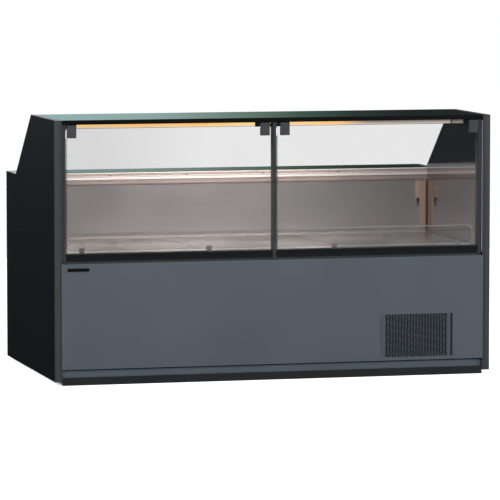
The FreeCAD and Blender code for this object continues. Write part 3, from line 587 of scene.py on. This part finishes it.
# ---- customer side -------------------------------------------------------------------
def badge_plate():
    """Blank name plate at the top left of the front panel."""
    low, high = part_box("front_panel")
    width, height, proud = 0.107, 0.0185, 0.0009
    from_side, from_top = 0.022, 0.0275
    centre = Vector((low[0] + from_side + width / 2, low[1], high[2] - from_top))
    bm = bmesh.new()
    plate(bm, round_rect(width, height, 0.005), centre, X, Z, proud, bevel=0.0004)
    bmesh.ops.inset_region(bm, faces=[f for f in bm.faces if abs(f.normal.y) > 0.99 and len(f.verts) > 8
                                      and f.calc_center_median().y < low[1] - proud * 0.9],
                           thickness=0.0022, depth=-0.0003)
    for face in bm.faces:
        face.material_index = 1 if len(face.verts) == 4 and face.normal.y < -0.5 else 0
    obj = piece("badge_plate", bm, "black_metal")
    obj.data.materials.append(LOOKS["badge_rim"])
    return obj


def vent_frame():
    """Folded frame behind the perforated field, which leaves the outer columns of slots backed."""
    outer = (0.492, 0.8485, 0.082, 0.2965)
    inner = (0.5300, 0.8345, 0.0865, 0.2925)
    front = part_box("front_panel")[0][1] + 0.0016
    depth = 0.0016
    bm = bmesh.new()
    corners = [[(x0, z0), (x1, z0), (x1, z1), (x0, z1)] for x0, x1, z0, z1 in (outer, inner)]
    layers = []
    for y in (front, front + depth):
        layers.append([[bm.verts.new((x, y, z)) for x, z in ring] for ring in corners])
    for i in range(4):
        j = (i + 1) % 4
        for layer in layers:
            bm.faces.new((layer[0][i], layer[0][j], layer[1][j], layer[1][i]))
        for ring in (0, 1):
            bm.faces.new((layers[0][ring][i], layers[0][ring][j], layers[1][ring][j], layers[1][ring][i]))
    bmesh.ops.bevel(bm, geom=list(bm.edges), offset=0.0004, segments=2, affect="EDGES")
    piece("vent_frame", bm, "slate_paint")


def dust_filter():
    """Black filter pad in front of the condenser."""
    width, height, thick = 0.368, 0.212, 0.004
    centre = Vector((0.6835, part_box("front_panel")[0][1] + 0.0145, 0.1895))
    bm = bmesh.new()
    plate(bm, round_rect(width, height, 0.006), centre, X, Z, thick, bevel=0.001)
    piece("dust_filter", bm, "filter")


def sill_seals():
    """Soft lip along the sill, just behind the lower edge of each pane."""
    for side, glass in (("left", "front_glass_left"), ("right", "front_glass_right")):
        low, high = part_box(glass)
        y0, z0 = high[1] + 0.0004, low[2] + 0.0005
        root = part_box("sill_bumper")[0][1]
        depth = root - y0
        arc = [(y0 + depth * (1 - math.sin(a)), z0 + 0.0025 + 0.0022 * math.cos(a))
               for a in (math.pi * i / 8 for i in range(9))]
        outline = [(root, z0 + 0.0047)] + arc[1:-1] + [(root, z0 + 0.0003)]
        bm = bmesh.new()
        bar(bm, outline, low[0] + 0.004, high[0] - 0.004)
        piece("sill_seal_" + side, bm, "rubber")


def post_strips():
    """Bead that closes the gap between each end post and its corner trim; the right one is pale as a painted
    highlight, the left one is dark.
    """
    for side, sign in (("left", -1), ("right", 1)):
        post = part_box("end_post_" + side)
        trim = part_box("front_trim_" + side)
        edge = post[1][0] if sign > 0 else post[0][0]
        inner = trim[0][0] if sign > 0 else trim[1][0]
        middle = (edge + inner) / 2
        foot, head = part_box("sill_bumper")[1][2] - 0.03, 1.190
        centre = Vector((middle, post[0][1] - 0.0035, foot))
        bm = bmesh.new()
        plate(bm, round_rect(0.0030, 0.0030, 0.0012, 4), centre, X, Y, head - foot)
        piece("post_strip_" + side, bm, "bead" if sign > 0 else "post_side")


def pane_seals():
    """Soft strip on each post, behind the upright edges of the panes."""
    foot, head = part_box("sill_bumper")[1][2] + 0.0005, 1.133
    width, depth, rounding = 0.0024, 0.0060, 0.0008
    off_post, centre_y = 0.0011, -0.5590
    edges = [("end_left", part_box("end_post_left")[1], 1), ("centre_left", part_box("centre_post")[0], -1),
             ("centre_right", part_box("centre_post")[1], 1), ("end_right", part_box("end_post_right")[0], -1)]
    for name, corner, sign in edges:
        centre = Vector((corner[0] + sign * off_post, centre_y, foot))
        bm = bmesh.new()
        plate(bm, round_rect(width, depth, rounding, 4), centre, X, Y, head - foot)
        piece("pane_seal_" + name, bm, "rubber")


def hinge_shrouds():
    """Black plates under the hinge rail that keep the light off the hinges."""
    back, top, height, thick = -0.516, 1.1965, 0.0245, 0.0025
    inner, outer = (0.0105, 0.082), (0.925, 0.9825)
    for name, near, far in (("end_left", -outer[1], -outer[0]), ("centre_left", -inner[1], -inner[0]),
                            ("centre_right", *inner), ("end_right", *outer)):
        centre = Vector(((near + far) / 2, back, top - height / 2))
        bm = bmesh.new()
        plate(bm, round_rect(far - near, height, 0.002), centre, X, Z, thick, bevel=0.0006)
        piece("hinge_shroud_" + name, bm, "black_metal")


def post_screws():
    """Dark screw at the foot of each post."""
    level, sunk = 0.585, 0.0001
    places = []
    for name, shift in (("end_post_left", -0.003), ("centre_post", 0.0), ("end_post_right", 0.003)):
        low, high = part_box(name)
        places.append(((low[0] + high[0]) / 2 + shift, low[1] + sunk, level))
    screws("post_screws", places, -Y, 0.0028, "dark_screw")


def hinge_screws():
    """Two screws through each inner clamp plate of the lift-up glass."""
    clamps, half_gap, level = (0.0475, 0.959), 0.012, 1.148
    for side, sign in (("left", -1), ("right", 1)):
        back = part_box("front_glass_" + side)[1][1] + 0.003
        places = []
        for centre in clamps:
            for shift in (-half_gap, half_gap):
                places.append((sign * centre + shift, back, level))
        screws("hinge_screws_" + side, places, Y, 0.0032, "screw", "glass_" + side)


# ---- display space -------------------------------------------------------------------
def rail_screws():
    """Evenly spaced screws near the top of the ridged rail."""
    low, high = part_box("worktop_rail")
    first, pitch, count, from_top = -0.582, 0.379, 4, 0.0125
    places = [(first + i * pitch, low[1], high[2] - from_top) for i in range(count)]
    screws("rail_screws", places, -Y, 0.0035, "dark_screw")


def thermal_break():
    """Soft-grey profile over the joint between rail and rear wall, and the warm bead just below it, whose
    amber colour is a painted warm reflection.
    """
    rail_low, rail_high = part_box("worktop_rail")
    wall_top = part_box("rear_wall")[1][2]
    y1 = rail_low[1] + 0.0018
    y0 = y1 - 0.0016
    z0, z1 = wall_top + 0.0006, wall_top + 0.0185
    lip = 0.0008
    outline = [(y1, z0), (y0 + lip, z0), (y0, z0 + lip), (y0, z0 + 0.004), (y0 + lip, z0 + 0.005),
               (y0 + lip, z1 - 0.005), (y0, z1 - 0.004), (y0, z1 - lip), (y0 + lip, z1), (y1, z1)]
    bm = bmesh.new()
    bar(bm, outline, rail_low[0] + 0.001, rail_high[0] - 0.001)
    piece("thermal_break", bm, "taupe", angle=20.0)
    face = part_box("rear_wall")[1][1] - 0.0015
    z0, z1 = wall_top - 0.0052, wall_top - 0.0022
    outline = [(face, z0), (face - 0.0008, z0 + 0.0006), (face - 0.0008, z1 - 0.0006), (face, z1)]
    bm = bmesh.new()
    bar(bm, outline, rail_low[0] + 0.002, rail_high[0] - 0.002)
    piece("wall_top_bead", bm, "warm_reflection_bead", angle=20.0)


def wall_brackets():
    """Screwed clip with a tapering tongue, corner cover and corner seal at both ends of the rear wall."""
    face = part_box("rear_wall")[1][1] - 0.0015
    root = face - 0.0002
    clip_x, half, top, foot = 0.9605, 0.0115, 0.8475, 0.765
    neck, tip, reach = 0.0075, 0.0025, 0.042
    cover_shift, cover_height, cover_level = 0.0265, 0.2765, 0.70925
    seal_size, seal_foot = 0.0045, 0.571
    for side, sign in (("left", -1), ("right", 1)):
        x = sign * clip_x
        outline = [(-half, foot), (half, foot), (half, top), (-half, top)]
        bm = bmesh.new()
        plate(bm, outline, Vector((x, root, 0)), X, Z, 0.0035, bevel=0.0008)
        piece("wall_bracket_" + side, bm, "bracket")
        tongue = [(-neck, foot - 0.001), (-tip, foot - reach), (tip, foot - reach), (neck, foot - 0.001)]
        bm = bmesh.new()
        plate(bm, tongue, Vector((x, root, 0)), X, Z, 0.0025, bevel=0.0006)
        piece("wall_tongue_" + side, bm, "corner_seal")
        places = [(x, face - 0.0037, z) for z in (0.780, 0.832)]
        screws("wall_bracket_screws_" + side, places, -Y, 0.003, "screw")
        cover = round_rect(0.026, cover_height, 0.003)
        bm = bmesh.new()
        plate(bm, cover, Vector((x + sign * cover_shift, root, cover_level)), X, Z, 0.002, bevel=0.0007)
        piece("corner_cover_" + side, bm, "cover")
        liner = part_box("end_liner_" + side)
        inner = liner[0][0] if sign > 0 else liner[1][0]
        corner = Vector((inner - sign * 0.0024, face - 0.0026, seal_foot))
        bm = bmesh.new()
        plate(bm, round_rect(seal_size, seal_size, 0.0012, 4), corner, X, Y, cover_height)
        piece("corner_seal_" + side, bm, "corner_seal")


def deck_joints():
    """Seal along the rear edge of the deck, fixed to the rear wall."""
    deck_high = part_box("deck_plate_left")[1]
    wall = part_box("rear_wall")
    y1 = wall[1][1] - 0.0016
    y0 = y1 - 0.016
    z0 = deck_high[2] - 0.012
    outline = [(y1, z0), (y0 + 0.004, z0), (y0, z0 + 0.004), (y0, z0 + 0.0065), (y1 - 0.004, z0 + 0.012),
               (y1, z0 + 0.020)]
    bm = bmesh.new()
    bar(bm, outline, wall[0][0] + 0.002, wall[1][0] - 0.002)
    piece("deck_rear_seal", bm, "taupe")


def drain_strainer():
    """Domed strainer over the tub drain."""
    low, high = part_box("drain_pipe")
    centre = Vector(((low[0] + high[0]) / 2, (low[1] + high[1]) / 2, high[2] + 0.0013))
    bm = bmesh.new()
    profile = [(0.024, 0.0), (0.024, 0.0012), (0.021, 0.0022), (0.015, 0.0034), (0.008, 0.0042),
               (0.003, 0.0044)]
    lathe(bm, profile, centre, Z, steps=36)
    piece("drain_strainer", bm, "stainless")


def light_end_caps():
    """End caps of the opal diffuser."""
    low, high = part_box("led_diffuser")
    width, height = high[1] - low[1], high[2] - low[2]
    centre_y, centre_z = (low[1] + high[1]) / 2, (low[2] + high[2]) / 2
    for side, x in (("left", low[0] - 0.0032), ("right", high[0] + 0.0004)):
        bm = bmesh.new()
        plate(bm, round_rect(width - 0.0006, height + 0.001, 0.003), Vector((x, centre_y, centre_z)), Y, Z,
              0.0028, bevel=0.0006)
        piece("light_end_cap_" + side, bm, "white_plastic")


# ---- service side --------------------------------------------------------------------
def rear_screws():
    """Screws round the rear panel, with a gap in the bottom row over the drip tray."""
    low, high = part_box("rear_panel")
    back, inset, side_x = 0.553, 0.012, 0.988
    places = [(x, back, high[2] - inset) for x in (-0.98 + 0.28 * i for i in range(8))]
    places += [(x, back, low[2] + inset) for x in (-0.98, -0.72, -0.46, 0.46, 0.70)]
    places += [(x, back, z) for x in (-side_x, side_x) for z in (0.30, 0.49, 0.68)]
    screws("rear_panel_screws", places, Y, 0.0045, "screw")


def control_marks():
    """Standby dashes of the thermostat's display and a mark on each key."""
    low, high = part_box("display_window")
    face = high[1] + 0.0001
    across = -X
    window_x = (low[0] + high[0]) / 2
    bm = bmesh.new()
    for shift in (-0.011, 0.011):
        dash = [(-0.006, 0), (-0.005, -0.001), (0.005, -0.001), (0.006, 0), (0.005, 0.001), (-0.005, 0.001)]
        plate(bm, dash, Vector((window_x - shift, face, 0.800)), across, Z, 0.0002)
    piece("display_dashes", bm, "segments")
    triangle = [(-0.0018, -0.0012), (0.0018, -0.0012), (0, 0.0018)]
    marks = {"key_up": triangle, "key_down": [(x, -z) for x, z in triangle][::-1],
             "key_set": round_rect(0.0026, 0.0026, 0.0012, 4)}
    for name, outline in marks.items():
        key_low, key_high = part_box(name)
        centre = (Vector(key_low) + Vector(key_high)) / 2
        bm = bmesh.new()
        plate(bm, outline, Vector((centre.x, key_high[1] - 0.0001, centre.z)), across, Z, 0.0003)
        piece(name + "_mark", bm, "mark", name)


# ---- machine compartment -------------------------------------------------------------
def refrigerant_pipes():
    """Pipes between compressor, condenser and evaporator."""
    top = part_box("compressor")[1][2]
    condenser_low, condenser_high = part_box("condenser")
    tub_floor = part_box("tub_foam")[0][2]
    stub_y = 0.400 - 0.575
    discharge_x, suction_x = 0.750, 0.650
    clear = condenser_high[2] + 0.03
    inlet_x, inlet_y = 0.835, condenser_low[1] + 0.03
    stub_z = top - 0.004
    pipe("discharge_pipe", [(discharge_x, stub_y, stub_z), (discharge_x, stub_y, clear),
                            (inlet_x, stub_y, clear), (inlet_x, inlet_y, clear),
                            (inlet_x, inlet_y, condenser_high[2] - 0.02)], 0.004, "copper")
    pipe("suction_pipe", [(suction_x, stub_y, stub_z), (suction_x, stub_y, tub_floor)], 0.0052, "copper")
    pipe("suction_sleeve", [(suction_x, stub_y, top + 0.012), (suction_x, stub_y, tub_floor - 0.0005)], 0.013,
         "rubber")
    outlet_x, outlet_y = 0.530, condenser_low[1] + 0.045
    riser_x, riser_y, run_z = 0.507, 0.030, 0.135
    pipe("liquid_pipe", [(outlet_x, outlet_y, run_z), (riser_x, outlet_y, run_z), (riser_x, riser_y, run_z),
                         (riser_x, riser_y, tub_floor)], 0.0032, "copper")
    bm = bmesh.new()
    profile = [(0.0034, 0.0), (0.006, 0.004), (0.0115, 0.012), (0.012, 0.016), (0.012, 0.094),
               (0.0115, 0.098), (0.006, 0.106), (0.0034, 0.110)]
    lathe(bm, profile, Vector((riser_x, riser_y, 0.215)), Z, steps=28)
    piece("filter_drier", bm, "copper")


# ---- studio --------------------------------------------------------------------------
def floor():
    """Pale floor that reads white, with a painted shadow below the case: dark colour and no glow within its
    footprint.
    """
    s = Shader("studio_floor", (0.80, 0.80, 0.80, 1.0), 0.8, specular=0.1)
    beside = s.remap(s.calc("ABSOLUTE", s.axis(0)), 0.98, 1.03, 0.0, 1.0, smooth=True)
    before = s.remap(s.calc("ABSOLUTE", s.axis(1)), 0.53, 0.57, 0.0, 1.0, smooth=True)
    shade = s.calc("MAXIMUM", beside, before)
    # Painted shadow: colour and glow drop to dark inside the case's footprint.
    s.feed("Base Color", s.blend(shade, (0.05, 0.05, 0.05, 1.0), (0.80, 0.80, 0.80, 1.0)))
    seen = s.nodes.new("ShaderNodeLightPath").outputs["Is Camera Ray"]
    s.set("Emission Color", (1.0, 1.0, 1.0, 1.0))
    s.feed("Emission Strength", s.calc("MULTIPLY", shade, s.remap(seen, 0.0, 1.0, 0.1, 1.0)))
    bm = bmesh.new()
    corners = ((-9.0, -24.0), (9.0, -24.0), (9.0, 6.0), (-9.0, 6.0))
    bm.faces.new([bm.verts.new((x, y, 0.0)) for x, y in corners])
    mesh = bpy.data.meshes.new("floor")
    bm.to_mesh(mesh)
    bm.free()
    mesh.materials.append(s.mat)
    obj = bpy.data.objects.new("floor", mesh)
    obj.visible_glossy = False
    bpy.context.scene.collection.objects.link(obj)


def world():
    """White to the camera; round the object a soft front light and a pale teal glow behind to the left."""
    sky = bpy.data.worlds.new("studio")
    bpy.context.scene.world = sky
    sky.use_nodes = True
    g = Graph(sky.node_tree)
    g.nodes.clear()
    place = g.nodes.new("ShaderNodeTexCoord")
    split = g.nodes.new("ShaderNodeSeparateXYZ")
    g.links.new(place.outputs["Generated"], split.inputs["Vector"])
    x, y, z = split.outputs
    bearing = g.calc("DIVIDE", x, g.calc("MAXIMUM", y, 0.02))
    sweep = g.ramp(g.remap(bearing, 0.14, 0.30, 0.0, 1.0), [
        (0.0, (0.33, 0.37, 0.43, 1.0)), (0.1, (0.40, 0.59, 0.60, 1.0)), (0.41, (0.40, 0.59, 0.60, 1.0)),
        (0.57, (0.37, 0.53, 0.50, 1.0)), (0.74, (0.16, 0.245, 0.19, 1.0)), (0.82, (0.065, 0.125, 0.090, 1.0)),
        (0.91, (0.032, 0.046, 0.042, 1.0)), (1.0, (0.018, 0.022, 0.021, 1.0))])
    glow = g.calc("MULTIPLY", g.remap(z, 0.005, 0.045, 0.0, 1.0, smooth=True),
                  g.remap(y, 0.0, 0.4, 0.0, 1.0, smooth=True))
    front = g.remap(y, -0.75, 0.15, 1.0, 0.0, smooth=True)
    above = g.remap(z, 0.25, 0.95, 0.0, 1.0, smooth=True)
    dim = (0.016, 0.017, 0.019, 1.0)
    colour = g.blend(glow, dim, sweep)
    colour = g.blend(front, colour, (0.31, 0.315, 0.325, 1.0))
    colour = g.blend(above, colour, (0.38, 0.385, 0.40, 1.0))
    path = g.nodes.new("ShaderNodeLightPath")
    seen = g.nodes.new("ShaderNodeBackground")
    seen.inputs["Color"].default_value = (1.0, 1.0, 1.0, 1.0)
    seen.inputs["Strength"].default_value = 1.02
    around = g.nodes.new("ShaderNodeBackground")
    g.links.new(colour, around.inputs["Color"])
    join = g.nodes.new("ShaderNodeMixShader")
    out = g.nodes.new("ShaderNodeOutputWorld")
    g.links.new(path.outputs["Is Camera Ray"], join.inputs["Fac"])
    g.links.new(around.outputs[0], join.inputs[1])
    g.links.new(seen.outputs[0], join.inputs[2])
    g.links.new(join.outputs[0], out.inputs["Surface"])


def area_light(name, place, target, size, power, colour=(1.0, 1.0, 1.0)):
    data = bpy.data.lights.new(name, "AREA")
    data.shape = "RECTANGLE"
    data.size, data.size_y = size
    data.energy = power
    data.color = colour
    obj = bpy.data.objects.new(name, data)
    obj.location = place
    obj.rotation_euler = (Vector(target) - Vector(place)).to_track_quat("-Z", "Y").to_euler()
    obj.visible_camera = False
    bpy.context.scene.collection.objects.link(obj)


def lights():
    """Four studio lights, and the case's own light below the warm stretch of the diffuser."""
    area_light("key", (-3.5, -6.5, 3.4), (0.0, -0.4, 0.6), (4.0, 2.5), 165.0)
    area_light("fill", (4.5, -6.0, 2.4), (0.0, -0.4, 0.6), (3.5, 2.5), 78.0)
    area_light("overhead", (0.0, 0.2, 4.2), (0.0, 0.0, 0.0), (5.0, 3.0), 60.0)
    area_light("service", (-1.5, 5.5, 2.6), (0.0, 0.4, 0.5), (4.0, 2.0), 55.0)
    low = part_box("led_diffuser")[0]
    middle = -0.22
    area_light("display_light", (middle, low[1] - 0.006, low[2] - 0.004), (middle, low[1] + 0.02, 0.60),
               (1.50, 0.045), 14.0, (1.0, 0.92, 0.86))


def camera():
    """Long lens, placed and turned by the solve on the photograph's straight edges."""
    data = bpy.data.cameras.new("camera")
    data.sensor_width = 36.0
    data.lens = 288.5
    data.clip_end = 200.0
    obj = bpy.data.objects.new("camera", data)
    obj.location = (-4.724, -18.423, 2.199)
    turn, pitch = math.radians(14.462), math.radians(4.94)
    obj.rotation_euler = (math.pi / 2 - pitch, 0.0, -turn)
    bpy.context.scene.collection.objects.link(obj)
    bpy.context.scene.camera = obj


# ---- build ---------------------------------------------------------------------------
dress_frame()
badge_plate()
vent_frame()
dust_filter()
sill_seals()
post_strips()
pane_seals()
hinge_shrouds()
post_screws()
hinge_screws()
rail_screws()
thermal_break()
wall_brackets()
deck_joints()
drain_strainer()
light_end_caps()
rear_screws()
control_marks()
refrigerant_pipes()
floor()
world()
lights()
camera()
bpy.context.scene.view_settings.view_transform = "Standard"
